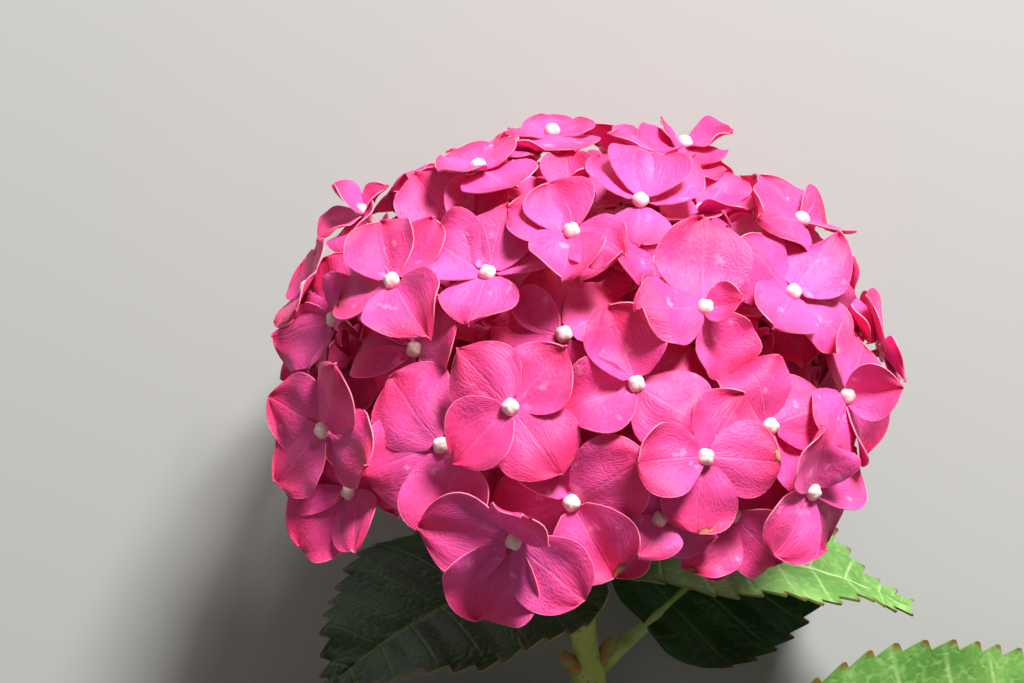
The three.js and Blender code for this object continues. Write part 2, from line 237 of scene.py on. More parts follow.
# Behind the outer florets stand deeper ones, wherever the outer ones leave a gap. They fill the
# head with sepals, and have no bud and no cup.
outer_florets = len(florets)
inner_depth = 9
inner_spacing = 11.5
inner_places = 700
for i in range(inner_places):
    polar, azimuth = spiral_place(i, inner_places, lowest_polar)
    face = out_of_dome(on_dome(polar, azimuth))
    place = on_dome(polar, azimuth) - face * inner_depth
    apart = min(np.linalg.norm(one["place"] - place) for one in florets)
    if past_edge(polar, azimuth) or apart <= inner_spacing:
        continue
    first = direction(360 * next(random), 0)
    floret = {"face": face, "first": first, "size": floret_sizes[0], "cup": 0}
    florets.append(dict(floret, place=place, layer=len(floret_layers)))

# Sepals: four to a floret, thin blades about as broad as long, with a blunt tip and a narrow foot.
# Each is cupped, waved and crumpled by a habit of its own, and slips under those laid before it.
sharp_edge = math.radians(50)
sepal_rows = 14
sepal_columns = 12
sepal_half_width = 0.5
least_half_width = 0.004
sepal_thickness = 0.3
sepal_foot = 0.07
foot_fullness = 0.78
tip_crowding = 1.5
bluntness = (0.42, 0.82)
point_length = 0.05
point_sharpness = 6
slimming = 0.7
sepal_step = 0.045
bend_start = 0.35
gutter_depth = 1.6
gutter_power = 1.3
most_wave = 0.09
wave_slant = 1.4
most_crumple = 0.038
crumple_start = 2.5
most_twist = 12
spin_spread = 7

# Each crumple wave has its speed along the sepal, across it and with the phase. Each sepal's habit
# is drawn from the ranges below.
crumple_waves = [(6, 3, 5), (-3, 4, 9)]
sepal_habits = {
    "width": (0.92, 1.1),
    "length": (0.84, 1),
    "point": (0, 1),
    "bend": (-0.25, 0.1),
    "gutter": (-0.16, 0.42),
    "waves": (1, 2.2),
    "phase": (0, 1),
    "wave": (0, 1),
    "twist": (-1, 1),
    "sway": (-0.06, 0.06),
}
habit_seed = 77

# How a sepal is posed: how far it may fold or be pushed to keep clear of buds and other sepals.
most_rise = 15
shortest_flat = 0.85
longest_flat = 1.25
folded_length = 0.95
bud_rise = 1.5
bud_clearance = 3.5
bud_margin = 2
bud_room = 4
hiding_width = 0.8
hiding_height = 4
least_reach = 0.62
length_kept = 0.55
rim_reach = 1.07
rim_ease = 0.45
slip_reach = 9
slip_clearance = 0.5
fixed_foot = 0.1
eased_foot = 0.25
easings = 4
most_sunk = 5
laying_order = (1, 3, 0, 2)

# The sepals of the florets seen best point where the photograph shows them. Each has the place of
# its tip from the bud, to the right and up as the camera sees it. If that is short for a sepal, it
# folds up where a third number says 1, lies level where it is just above 0, and bends half back
# where it is -1. An empty row leaves a floret to the rule.
shown_sepals = [
    [(15, 15), (-14, 15), (-16, -14), (13, -17)],
    [(12, 8, -1), (-6, 21), (-20, -7), (16, -11)],
    [(10, 15), (-15, 0), (-3, -20), (20, -1)],
    [(-3, 15), (17, 7), (13, -13), (-6, -7)],
    [(15, 9), (-4, 8, -1), (-15, -4), (11, -20)],
    [(3, 8, 1), (-23, 2), (-9, -20), (18, -16)],
    [(12, 3, -1), (-14, 16), (-22, -7), (4, -24)],
    [(-1, 19), (11, 9), (4, -8, -1), (-6, 0, -1)],
    [(-1, 24), (-15, 0), (4, -10, -1), (11, 1, 0.3)],
    [(-13, 13), (12, 15), (16, -14), (-7, -9)],
    [(-6, 14), (-15, 5), (-2, -11), (8, -4)],
    [(14, 14), (-11, 13), (-1, -8), (4, 16, -1)],
    [(-18, 10), (5, 18), (14, 9), (-3, -11)],
    [(-11, 17), (11, 15), (8, -5, -1), (-9, -3, -1)],
    [(-5, 18), (9, 14), (7, -12), (-13, -4)],
    [(-15, 2), (-1, 12), (10, 9, 1), (-5, -6, -1)],
    [(-3, 16), (7, 10, 1), (-9, -8), (-17, -5)],
    [(15, 2, 0.3), (5, 13), (6, -14), (-5, -10)],
    [(-6, 17), (13, 7), (1, -10, -1), (-15, 3)],
    [(-8, 14), (10, 0), (3, -9, -1), (-13, -2)],
    [(-14, 8), (-12, -14), (15, -8), (5, 15)],
    [],
    [(5, 8, 0.3), (-9, 7, 0.3), (-13, -5, 0.3), (-2, -9)],
    [],
    [(13, 3, 0.3), (-7, 6, 0.3), (-9, -3), (2, -6)],
    [(2, 7, 1), (-7, 3, -1), (-5, -12), (6, -16)],
    [(17, 4), (-12, -13), (-2, -14), (14, -13)],
    [(12, 8), (1, 12), (-7, -14), (4, -12)],
    [(8, 4, -1), (-11, 6, -1), (-15, -16), (3, -9)],
]


def shape_taken():
    """The points and faces of the primitive that was just added, which is then removed."""
    start = bpy.context.object
    points = np.array([vertex.co[:] for vertex in start.data.vertices])
    faces = [tuple(face.vertices) for face in start.data.polygons]
    bpy.data.objects.remove(start)
    return points, faces


def grid(columns, rows):
    """A flat grid: its points' places, -1 to 1 across it and 0 to 1 along it, and its faces."""
    bpy.ops.object.select_all(action="DESELECT")
    bpy.ops.mesh.primitive_grid_add(x_subdivisions=columns, y_subdivisions=rows, size=2)
    points, faces = shape_taken()
    return points[:, 0], (points[:, 1] + 1) / 2, faces


def new_piece(name, points, faces, materials):
    mesh = bpy.data.meshes.new(name)
    mesh.from_pydata(points * mm, [], faces)
    for material in materials:
        mesh.materials.append(material)
    piece = bpy.data.objects.new(name, mesh)
    bpy.context.collection.objects.link(piece)
    return piece


def joined(name, copies, faces, materials):
    """One piece of many copies of a shape, each with its own points."""
    count = len(copies[0])
    all_faces = [tuple(v + i * count for v in face) for i in range(len(copies)) for face in faces]
    return new_piece(name, np.concatenate(copies), all_faces, materials)


def select_alone(piece):
    bpy.ops.object.select_all(action="DESELECT")
    piece.select_set(True)
    bpy.context.view_layer.objects.active = piece


def sheets(name, copies, faces, across, along, thickness, materials):
    """One piece of many like sheets, each with its own points, made solid about its middle."""
    piece = joined(name, copies, faces, materials)
    places = np.tile(np.stack([(across + 1) / 2, along], axis=1), (len(copies), 1))
    corners = np.array([loop.vertex_index for loop in piece.data.loops])
    layer = piece.data.uv_layers.new(name="sheet")
    layer.data.foreach_set("uv", places[corners].astype(np.float32).ravel())
    select_alone(piece)
    solid = piece.modifiers.new("thickness", "SOLIDIFY")
    solid.thickness = thickness * mm
    solid.offset = 0
    solid.material_offset_rim = len(materials) - 1
    bpy.ops.object.modifier_apply(modifier=solid.name)
    bpy.ops.object.shade_smooth_by_angle(angle=sharp_edge)
    return piece


class Signal:
    """A number or colour on its way through a material's nodes, with sums written as sums."""

    def __init__(self, finish, socket):
        self.finish = finish
        self.socket = socket

    def maths(self, operation, first, second):
        settings = {"operation": operation}
        return self.finish.node("ShaderNodeMath", settings, {0: first, 1: second})

    def __add__(self, other):
        return self.maths("ADD", self, other)

    def __radd__(self, other):
        return self.maths("ADD", other, self)

    def __sub__(self, other):
        return self.maths("SUBTRACT", self, other)

    def __rsub__(self, other):
        return self.maths("SUBTRACT", other, self)

    def __mul__(self, other):
        return self.maths("MULTIPLY", self, other)

    def __rmul__(self, other):
        return self.maths("MULTIPLY", other, self)

    def __pow__(self, other):
        return self.maths("POWER", self, other)

    def __mod__(self, other):
        return self.maths("FLOORED_MODULO", self, other)

    def __abs__(self):
        return self.maths("ABSOLUTE", self, 0)

    def step(self, low, high):
        """0 below low, 1 above high and smooth between them."""
        settings = {"interpolation_type": "SMOOTHSTEP", "clamp": True}
        values = {"Value": self, "From Min": low, "From Max": high}
        return self.finish.node("ShaderNodeMapRange", settings, values)


class Finish:
    """A material whose nodes are added as they are named."""

    def __init__(self, name, **values):
        self.material = bpy.data.materials.new(name)
        self.material.use_nodes = True
        self.tree = self.material.node_tree
        self.shader = self.tree.nodes["Principled BSDF"]
        for socket, value in values.items():
            self.feed(self.shader.inputs[socket.replace("_", " ")], value)

    def feed(self, socket, value):
        if isinstance(value, Signal):
            self.tree.links.new(value.socket, socket)
        else:
            socket.default_value = value

    def set(self, socket, value):
        """Feed one of the shader's own sockets."""
        self.feed(self.shader.inputs[socket], value)

    def node(self, kind, settings, values, output=0):
        made = self.tree.nodes.new(kind)
        for setting, value in settings.items():
            setattr(made, setting, value)
        for socket, value in values.items():
            self.feed(made.inputs[socket], value)
        return Signal(self, made.outputs[output])

    def uv(self, axis):
        """One place on the piece's own map: 0 is across it and 1 is along it."""
        places = self.node("ShaderNodeUVMap", {"uv_map": "sheet"}, {})
        return self.node("ShaderNodeSeparateXYZ", {}, {"Vector": places}, axis)

    def place(self):
        """The place of a point on the piece, in metres."""
        return self.node("ShaderNodeTexCoord", {}, {}, "Object")

    def noise(self, scale, detail=3, where=None):
        values = {"Vector": where or self.place(), "Scale": scale, "Detail": detail}
        return self.node("ShaderNodeTexNoise", {}, values)

    def blend(self, share, first, second):
        """One colour over another by a share. The Mix node's colour sockets go by number."""
        factor, first_colour, second_colour, result = 0, 6, 7, 2
        values = {factor: share, first_colour: first, second_colour: second}
        return self.node("ShaderNodeMix", {"data_type": "RGBA"}, values, result)

    def bump(self, height, depth):
        values = {"Height": height, "Distance": depth * mm, "Strength": 1.0}
        self.set("Normal", self.node("ShaderNodeBump", {}, values))


def srgb(red, green, blue):
    """The shader's own colour for one of a screen's, from 0 to 255."""
    screen_gamma = 2.2
    return tuple((c / 255) ** screen_gamma for c in (red, green, blue)) + (1.0,)


streak_pink = srgb(214, 34, 104)
crease_pink = srgb(255, 150, 190)
mottle_pink = srgb(255, 110, 180)
fleck_pink = srgb(255, 190, 224)
margin_pink = srgb(250, 150, 180)
scorch_red = srgb(122, 48, 40)
scorch_brown = srgb(180, 128, 82)
streaks_across = 34
streaks_along = 2.2
streaks_apart = 90
spot_across = 0.72
spot_along = 0.92
spot_stretch = 1.3


def scorched(finish, along, colour):
    """A sepal's colour with one ragged brown spot near the tip, in a darker ring."""
    beside = finish.uv(0) - spot_across
    below = (along - spot_along) * spot_stretch
    coarse = finish.noise(scale=330, detail=3) * 0.24
    fine = finish.noise(scale=1400, detail=2) * 0.1
    off_spot = (beside * beside + below * below) ** 0.5 + (coarse + fine - 0.17)
    ring = 1 - off_spot.step(0.19, 0.25)
    brown = 1 - off_spot.step(0.13, 0.17)
    colour = finish.blend(ring * 0.75, colour, scorch_red)
    return finish.blend(brown, colour, scorch_brown)


def sepal_finish(name, body, sheen_colour, withered=False):
    """Velvety pink, paler and bluer towards the foot under a painted lilac sheen, with fine streaks
    that fan out to the edge.
    """
    finish = Finish(
        name, Roughness=0.58, Subsurface_Weight=0.15, Subsurface_Radius=(0.004, 0.0008, 0.0015),
        Subsurface_Scale=1.0, Sheen_Weight=0.06, Sheen_Tint=(1, 0.6, 0.85, 1),
    )
    across = abs(finish.uv(0) * 2 - 1)
    along = finish.uv(1)
    own = finish.noise(scale=45, detail=0)
    fan = {"X": finish.uv(0) * streaks_across, "Y": along * streaks_along, "Z": own * streaks_apart}
    fan_place = finish.node("ShaderNodeCombineXYZ", {}, fan)
    streak = finish.noise(scale=1, detail=3, where=fan_place)
    streaks = streak.step(0.5, 0.78) * (1 - along.step(0.45, 0.95))
    crease = 1 - across.step(0.01, 0.06)
    spread = finish.noise(scale=70, detail=3)
    # Painted sheen: a paler lilac laid from the foot out over most of the sepal, standing in for
    # the shine of light on the velvety surface.
    painted_sheen = (1 - along.step(0.1, 0.95)) * 0.75 + spread * 0.6 - 0.2
    colour = finish.blend(painted_sheen.step(0, 1), body, sheen_colour)
    colour = finish.blend(streaks * 0.35, colour, streak_pink)
    colour = finish.blend(crease * (1 - along.step(0.2, 0.8)) * 0.14, colour, crease_pink)
    mottle = finish.noise(scale=420, detail=4)
    colour = finish.blend(mottle.step(0.5, 0.8) * 0.2, colour, mottle_pink)
    flecks = finish.noise(scale=260, detail=2).step(0.62, 0.8) * (1 - along.step(0.3, 0.6))
    colour = finish.blend(flecks * 0.42, colour, fleck_pink)
    margin = across.step(0.965, 0.995) * along.step(0.3, 0.6)
    edge = margin.maths("MAXIMUM", margin, along.step(0.98, 0.998))
    colour = finish.blend(edge * 0.45, colour, margin_pink)
    if withered:
        colour = scorched(finish, along, colour)
    finish.set("Base Color", colour)
    finish.bump(streak * 0.9 + crease * -0.3 + mottle * 0.6, depth=0.3)
    return finish.material


rim_finish = Finish("sepal_margin", Base_Color=srgb(248, 128, 160), Roughness=0.6).material
across, along, sepal_faces = grid(sepal_columns, sepal_rows)


def reach_of(one, way, side, length):
    """How far a sepal may lie flat before it hides a neighbour's bud, as a share of its length."""
    reach = 1
    for other in florets[:outer_florets]:
        apart = other["place"] + other["face"] * bud_rise - one["place"]
        out, aside, above = (np.dot(apart, axis) for axis in (way, side, one["face"]))
        ahead = 0 < out < length + bud_margin
        beside = abs(aside) < length * sepal_half_width * hiding_width
        if ahead and beside and above < hiding_height:
            reach = min(reach, (out - bud_clearance) / length)
    return max(reach, least_reach)


def pose_shown(one, right, above, fold=0):
    """The way, top and length of a sepal, from where the camera sees its tip."""
    nearness = 1 - (head_axes @ one["place"])[2] / eye[2]
    seen = to_head @ (np.array([right, above, 0]) * nearness)
    drop = -np.dot(one["face"], seen) / np.dot(one["face"], up_in_head)
    tip = seen + up_in_head * drop
    length = np.linalg.norm(tip)
    full = sepal_length * one["size"]
    if fold or not shortest_flat < length / full < longest_flat:
        length = max(full * folded_length, np.linalg.norm(seen))
        rise = min(most_rise, math.sqrt(length ** 2 - np.dot(seen, seen)))
        folded = seen + up_in_head * rise * (fold or math.copysign(1, drop))
        length = np.linalg.norm(folded)
        tip = folded if fold > 0 else unit(folded) + unit(tip)
    return unit(tip), square_to(unit(tip), one["face"]), length


def pose_by_rule(one, turn, stretch):
    """The way, top and length of a sepal that folds up clear of its neighbours' buds."""
    face = one["face"]
    way = turned(square_to(face, one["first"]), face, turn)
    length = sepal_length * one["size"] * stretch
    reach = reach_of(one, way, np.cross(face, way), length)
    shorter = between(reach, 1, length_kept)
    fold = math.acos(reach / shorter)
    tilted = way * math.cos(fold) + face * math.sin(fold)
    return tilted, square_to(tilted, face), length * shorter


def sepal(one, quarter, pose, habit):
    """The points of one sepal in the head's frame."""
    way, top, length = pose
    side = np.cross(top, way)
    share = sepal_foot + (1 - sepal_foot) * (1 - (1 - along) ** tip_crowding)
    half = share ** foot_fullness * (1 - share) ** between(*bluntness, habit["point"])
    narrowed = min(1, sepal_length * one["size"] / length) ** slimming
    half = sepal_half_width * habit["width"] * narrowed * half / half.max()
    half = np.maximum(half, least_half_width)
    pointed = point_length * habit["point"] * (1 - abs(across)) * share ** point_sharpness
    out = share * (1 + pointed)
    lift = one["cup"] * share ** 2 + sepal_step * (quarter % 2)
    lift = lift + habit["bend"] * share ** 2 * (share - bend_start)
    lift = lift + habit["gutter"] * abs(across) ** gutter_power * half * gutter_depth
    start = 2 * math.pi * (habit["waves"] * share + habit["phase"])
    ripple = np.sin(start + wave_slant * across)
    lift = lift + most_wave * habit["wave"] ** 0.5 * ripple * across ** 2 * share
    turns = 2 * math.pi * habit["phase"]
    crumple = 1
    for lengthwise, crosswise, phase in crumple_waves:
        crumple = crumple * np.sin(lengthwise * share + crosswise * across + phase * turns)
    lift = lift + most_crumple * crumple * np.minimum(1, crumple_start * share)
    lift = lift + across * half * math.tan(math.radians(most_twist) * habit["twist"])
    sideways = across * half + habit["sway"] * share ** 2
    points = out[:, None] * way + sideways[:, None] * side + lift[:, None] * top
    return one["place"] + length * points


def drawn_in(points):
    """A sepal's points, with what stands far out of the dome curled back towards it."""
    heights = np.where(points[:, 2] > 0, dome_height, skirt_depth)
    radii = np.full(len(points), dome_radius)
    reach = np.linalg.norm(points / np.stack([radii, radii, heights], axis=1), axis=1)
    held = np.minimum(reach, rim_reach + (reach - rim_reach) * rim_ease)
    return points * (held / reach)[:, None]


def room_above(point, outward, laid):
    """How far outward from a point the innermost laid sepal near it lies; less than 0 if inward."""
    start = Vector(point - outward * slip_reach)
    hit = laid.ray_cast(start, Vector(outward), 2 * slip_reach)
    return slip_reach if hit[0] is None else hit[3] - slip_reach


def slipped_under(points, laid):
    """A sepal's points, pushed in wherever it would stand out through one that is laid already."""
    outward = np.array([out_of_dome(point) for point in points])
    room = np.array([room_above(point, out, laid) for point, out in zip(points, outward)])
    shift = np.where(along > fixed_foot, np.minimum(0, room - slip_clearance), 0)
    columns = shift.reshape(sepal_rows + 1, sepal_columns + 1)
    for _ in range(easings):
        wide = np.pad(columns, 1, mode="edge")
        mean = (wide[:-2, 1:-1] + wide[2:, 1:-1] + wide[1:-1, :-2] + wide[1:-1, 2:]) / 4
        columns = np.minimum(columns, mean)
    foot = np.clip(along / eased_foot, 0, 1)
    return points + outward * (columns.ravel() * foot)[:, None]


def to_shoot(points):
    """Points of the head's frame in the shoot's."""
    return points @ head_axes.T + rim_middle


# Each floret has one of three tones, with its sepals' own colour and the paler lilac of the painted
# sheen at their foot.
# A few sepals, given by floret and quarter, have withered spots.
tones = {
    "rose": (srgb(230, 42, 102), srgb(236, 70, 146)),
    "pink": (srgb(233, 46, 108), srgb(238, 76, 154)),
    "lilac": (srgb(232, 48, 113), srgb(236, 80, 160)),
}
finishes = {tone: sepal_finish(f"sepal_{tone}", *colours) for tone, colours in tones.items()}
finishes["withered"] = sepal_finish("sepal_withered", *tones["rose"], withered=True)
withered_sepals = {(1, 0), (2, 2), (2, 3), (3, 1), (4, 3), (19, 0), (26, 1)}
sepals = {tone: [] for tone in finishes}
chance = random_numbers(habit_seed)
for one in florets:
    one["tone"] = list(tones)[int(next(chance) * len(tones))]

# The outermost florets are laid first, and each later sepal slips under those that are there.
laid_points, laid_faces = [], []
in_turn = sorted(range(len(florets)), key=lambda number: florets[number]["layer"])
for number in in_turn:
    one = florets[number]
    laid = None
    if laid_points:
        laid = BVHTree.FromPolygons(np.concatenate(laid_points).tolist(), laid_faces)
        over = room_above(one["place"], out_of_dome(one["place"]), laid)
        sunk = np.clip(over - bud_room, -most_sunk, 0)
        one["place"] = one["place"] + out_of_dome(one["place"]) * sunk
    for quarter in laying_order:
        habit = {name: between(*ends, next(chance)) for name, ends in sepal_habits.items()}
        spin = math.radians(between(-spin_spread, spin_spread, next(chance)))
        turn = quarter * math.pi / 2 + spin
        if number < len(shown_sepals) and shown_sepals[number]:
            pose = pose_shown(one, *shown_sepals[number][quarter])
            points = sepal(one, quarter, pose, habit)
        else:
            pose = pose_by_rule(one, turn, habit["length"])
            points = drawn_in(sepal(one, quarter, pose, habit))
        if laid:
            points = slipped_under(points, laid)
        base = len(laid_points) * len(points)
        laid_faces += [tuple(v + base for v in face) for face in sepal_faces]
        laid_points.append(points)
        kind = "withered" if (number, quarter) in withered_sepals else one["tone"]
        sepals[kind].append(to_shoot(points))
for tone, copies in sepals.items():
    piece = sheets(
        f"sepals_{tone}", copies, sepal_faces, across, along, sepal_thickness,
        [finishes[tone], rim_finish],
    )
    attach(piece, "root")
    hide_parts("flower_head")

# The bud in the middle of each floret: a waxy cream knob, flushed pink, whose four lobes meet in a
# cross. It sits on the feet of the sepals.
bud_radius = 2.15
bud_height = 1.9
bud_lobes = 4
lobe_swell = 0.03
cross_depth = 0.12
cross_width = 0.5
cross_foot = 0.4
cream = srgb(240, 216, 206)
blush = srgb(240, 192, 200)
bpy.ops.object.select_all(action="DESELECT")
bpy.ops.mesh.primitive_uv_sphere_add(segments=20, ring_count=12, radius=1)
knob_points, knob_faces = shape_taken()
around = np.arctan2(knob_points[:, 1], knob_points[:, 0])
flat = np.hypot(knob_points[:, 0], knob_points[:, 1])
lobes = np.cos(bud_lobes * around)
above_foot = np.clip(knob_points[:, 2] + cross_foot, 0, 1)
cross = np.exp(-((1 + lobes) / cross_width) ** 2) * flat * above_foot
knob_points = knob_points * (1 + lobe_swell * lobes * flat ** 2 - cross_depth * cross)[:, None]
bud_finish = Finish(
    "bud", Roughness=0.42, Subsurface_Weight=0.25, Subsurface_Radius=(0.002, 0.0015, 0.001),
    Subsurface_Scale=1.0,
)
bud_mottle = bud_finish.noise(scale=700, detail=3)
bud_finish.set("Base Color", bud_finish.blend(bud_mottle.step(0.35, 0.7), cream, blush))
bud_finish.bump(bud_mottle, depth=0.1)
buds = []
for one in florets[:outer_florets]:
    side = square_to(one["face"], turned(one["first"], one["face"], math.pi / 4))
    basis = np.stack([side, np.cross(one["face"], side), one["face"]])
    size = np.array([bud_radius, bud_radius, bud_height])
    buds.append(to_shoot(one["place"] + one["face"] * bud_rise + (knob_points * size) @ basis))
piece = joined("buds", buds, knob_faces, [bud_finish.material])
piece.data.shade_smooth()
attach(piece, "root")

# The head's stalk parts into rays, the rays part again, and thin stalks run on from their tips to
# the florets. They are green below and flush pink towards the sepals.
fork_depth = 18
main_rays = 6
main_ray_polar = 66
main_ray_reach = 0.36
main_ray_radius = 2.1
side_rays = 24
side_ray_reach = 0.64
side_ray_radius = 1.3
lowest_ray_polar = 90
ray_rise = 1.2
ray_taper = 0.75
ray_steps = 8
ray_sides = 8
pedicel_radius = 0.75
pedicel_flare = 0.5
flare_power = 6
fork = np.array([0, 0, -fork_depth])
main_tips = [on_dome(0, 0)]
for k in range(main_rays):
    main_tips.append(on_dome(math.radians(main_ray_polar), 2 * math.pi * k / main_rays))
main_tips = [between(fork, tip, main_ray_reach) for tip in main_tips]
side_tips = []
for k in range(side_rays):
    tip = on_dome(*spiral_place(k, side_rays, lowest_ray_polar))
    side_tips.append(between(fork, tip, side_ray_reach))


def nearest(place, tips):
    """The tip that lies nearest to a place."""
    return min(tips, key=lambda tip: np.linalg.norm(tip - place))


def curve_through(start, leave, end, arrive, steps):
    """Points on a smooth curve that leaves and arrives in given directions."""
    t = np.linspace(0, 1, steps + 1)[:, None]
    reach = np.linalg.norm(end - start)
    leave, arrive = leave * reach, arrive * reach
    return (
        start * (2 * t ** 3 - 3 * t ** 2 + 1)
        + leave * (t ** 3 - 2 * t ** 2 + t)
        + end * (3 * t ** 2 - 2 * t ** 3)
        + arrive * (t ** 3 - t ** 2)
    )


def tube(points, radii, sides):
    """A closed tapering tube through points, as its own points and faces."""
    ways = np.gradient(points, axis=0)
    ways /= np.linalg.norm(ways, axis=1)[:, None]
    spoke = np.array([1, 0, 0]) if abs(ways[0][0]) < 0.9 else np.array([0, 1, 0])
    rings = []
    for point, way, radius in zip(points, ways, radii):
        spoke = square_to(way, spoke)
        turns = 2 * math.pi * np.arange(sides)[:, None] / sides
        ring = spoke * np.cos(turns) + np.cross(way, spoke) * np.sin(turns)
        rings.append(point + ring * radius)
    faces = []
    for i in range(len(points) - 1):
        for k in range(sides):
            a, b = i * sides + k, i * sides + (k + 1) % sides
            faces.append((a, b, b + sides, a + sides))
    last = (len(points) - 1) * sides
    faces.append(tuple(range(sides - 1, -1, -1)))
    faces.append(tuple(range(last, last + sides)))
    return np.concatenate(rings), faces


def tubes(name, lines, sides, material):
    """One smooth piece of many tubes, each given as its points and radii."""
    points, faces, count = [], [], 0
    for line, radii in lines:
        ring_points, ring_faces = tube(line, radii, sides)
        faces += [tuple(v + count for v in face) for face in ring_faces]
        points.append(ring_points)
        count += len(ring_points)
    piece = new_piece(name, np.concatenate(points), faces, [material])
    piece.data.shade_smooth()
    return piece


def tapered(radius):
    """The radii along a ray."""
    return np.linspace(radius, radius * ray_taper, ray_steps + 1)


def stalk_finish(name, first, second, scale):
    """Smooth skin in two colours that run into each other in patches."""
    finish = Finish(name, Roughness=0.5)
    patches = finish.noise(scale, detail=4)
    finish.set("Base Color", finish.blend(patches.step(0.35, 0.68), first, second))
    finish.bump(patches, depth=0.2)
    return finish.material


main_lines = []
for tip in main_tips:
    line = curve_through(fork, np.array([0, 0, ray_rise]), tip, unit(tip - fork), ray_steps)
    main_lines.append((to_shoot(line), tapered(main_ray_radius)))
side_lines = []
for tip in side_tips:
    start = nearest(tip, main_tips)
    line = curve_through(start, unit(start - fork), tip, unit(tip - start), ray_steps)
    side_lines.append((to_shoot(line), tapered(side_ray_radius)))
pedicels = []
for one in florets:
    start = nearest(one["place"], side_tips)
    leave = unit(start - nearest(start, main_tips))
    line = curve_through(start, leave, one["place"], one["face"], ray_steps)
    flare = pedicel_flare * np.linspace(0, 1, ray_steps + 1) ** flare_power
    pedicels.append((to_shoot(line), pedicel_radius * (1 + flare)))
green_ray = stalk_finish("ray", srgb(150, 176, 96), srgb(188, 190, 128), scale=240)
pink_stalk = stalk_finish("pedicel", srgb(206, 84, 118), srgb(196, 138, 112), scale=300)
for name, lines, finish in (
    ("main_rays", main_lines, green_ray),
    ("side_rays", side_lines, green_ray),
    ("pedicels", pedicels, pink_stalk),
):
    piece = tubes(name, lines, ray_sides, finish)
    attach(piece, "root")

# Among the rays stand the small fertile flowers, still closed: a few cream grains on hair-thin
# stalks at the tip of every side ray, seen only through the gaps between the sepals.
grain_seed = 91
grains_to_a_ray = 6
grain_radius = 0.95
grain_stretch = np.array([1, 1, 1.15])
grain_reach = 13
grain_reaches = (0.7, 1.1)
grain_spread = 0.55
thread_radius = 0.28
thread_steps = 4
thread_sides = 5
bpy.ops.object.select_all(action="DESELECT")
bpy.ops.mesh.primitive_ico_sphere_add(subdivisions=2, radius=1)
grain_points, grain_faces = shape_taken()
chance = random_numbers(grain_seed)
grains, threads = [], []
for tip in side_tips:
    if tip[2] < 0:
        continue
    outward = unit(tip - fork)
    for k in range(grains_to_a_ray):
        lean = direction(360 * next(chance), 180 * next(chance) - 90)
        reach = between(*grain_reaches, next(chance))
        end = tip + unit(outward + lean * grain_spread) * grain_reach * reach
        line = curve_through(tip, outward, end, unit(end - tip), thread_steps)
        threads.append((to_shoot(line), np.full(thread_steps + 1, thread_radius)))
        grains.append(to_shoot(end + grain_points * grain_radius * grain_stretch))
grain_finish = stalk_finish("grain", srgb(246, 236, 196), srgb(226, 214, 150), scale=900)
piece = joined("fertile_buds", grains, grain_faces, [grain_finish])
piece.data.shade_smooth()
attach(piece, "root")
piece = tubes("threads", threads, thread_sides, green_ray)
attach(piece, "root")

# The stem: one green shoot from its flat cut to the foot of the head's stalk, straight near the
# head and easing down to the level. It swells where each pair of leaves sits, and small corky
# specks dot its skin.
straight_length = 46
bend_length = 62
stem_yaw = 12
peduncle_foot = 46
cut_at = 214
stem_radius_at_cut = 4.6
stem_radius_at_top = 3.1
node_swelling = 1.3
node_reach = 5
stem_sides = 40
stalk_sides = 24
stalk_steps = 11
rind_grain = 6
rind_relief = 0.4
leaf_nodes = (60, 96, 170)
light_rind = srgb(190, 204, 100)
dark_rind = srgb(146, 172, 66)
cork = srgb(112, 70, 52)
tilt = math.degrees(head_tilt)
stem_line = [rim_middle]
stem_ways = []
for at in range(cut_at + 1):
    faded = math.exp(-max(0, at - straight_length) / bend_length)
    stem_ways.append(direction(-90 + stem_yaw * (1 - faded), -tilt * faded))
    stem_line.append(stem_line[-1] + stem_ways[-1])


def stem_radius(at):
    """The stem's radius at a distance from the head, with its swellings at the leaves."""
    plain = between(stem_radius_at_top, stem_radius_at_cut, at / cut_at)
    near = min(abs(at - node) for node in leaf_nodes)
    return plain * (1 + (node_swelling - 1) * math.exp(-(near / node_reach) ** 2))


stem_finish = Finish("stem_skin", Roughness=0.48)
stem_patches = stem_finish.noise(scale=90, detail=4)
stem_colour = stem_finish.blend(stem_patches.step(0.3, 0.7), dark_rind, light_rind)
specks = stem_finish.noise(scale=520, detail=1).step(0.66, 0.7)
stem_finish.set("Base Color", stem_finish.blend(specks * 0.7, stem_colour, cork))
stem_finish.bump(stem_patches * 0.5 + specks * 0.5, depth=0.35)
stations = range(peduncle_foot, cut_at + 1)
stem_points, stem_faces = tube(
    np.array([stem_line[at] for at in stations]),
    [stem_radius(at) for at in stations],
    stem_sides,
)
stem = new_piece("stem_skin", stem_points, stem_faces, [stem_finish.material])
select_alone(stem)
rind = bpy.data.textures.new("rind", "CLOUDS")
rind.noise_scale = rind_grain * mm
relief = stem.modifiers.new("relief", "DISPLACE")
relief.texture = rind
relief.strength = rind_relief * mm
relief.mid_level = 0.5
bpy.ops.object.modifier_apply(modifier=relief.name)
bpy.ops.object.shade_smooth_by_angle(angle=sharp_edge)
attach(stem, "root")
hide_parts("stem")

# The head's stalk runs on from the stem to the fork of the rays.
line = np.linspace(stem_line[peduncle_foot], to_shoot(fork), stalk_steps + 1)
radii = np.linspace(stem_radius(peduncle_foot), stem_radius_at_top, stalk_steps + 1)
piece = tubes("head_stalk", [(line, radii)], stalk_sides, stem_finish.material)
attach(piece, "root")

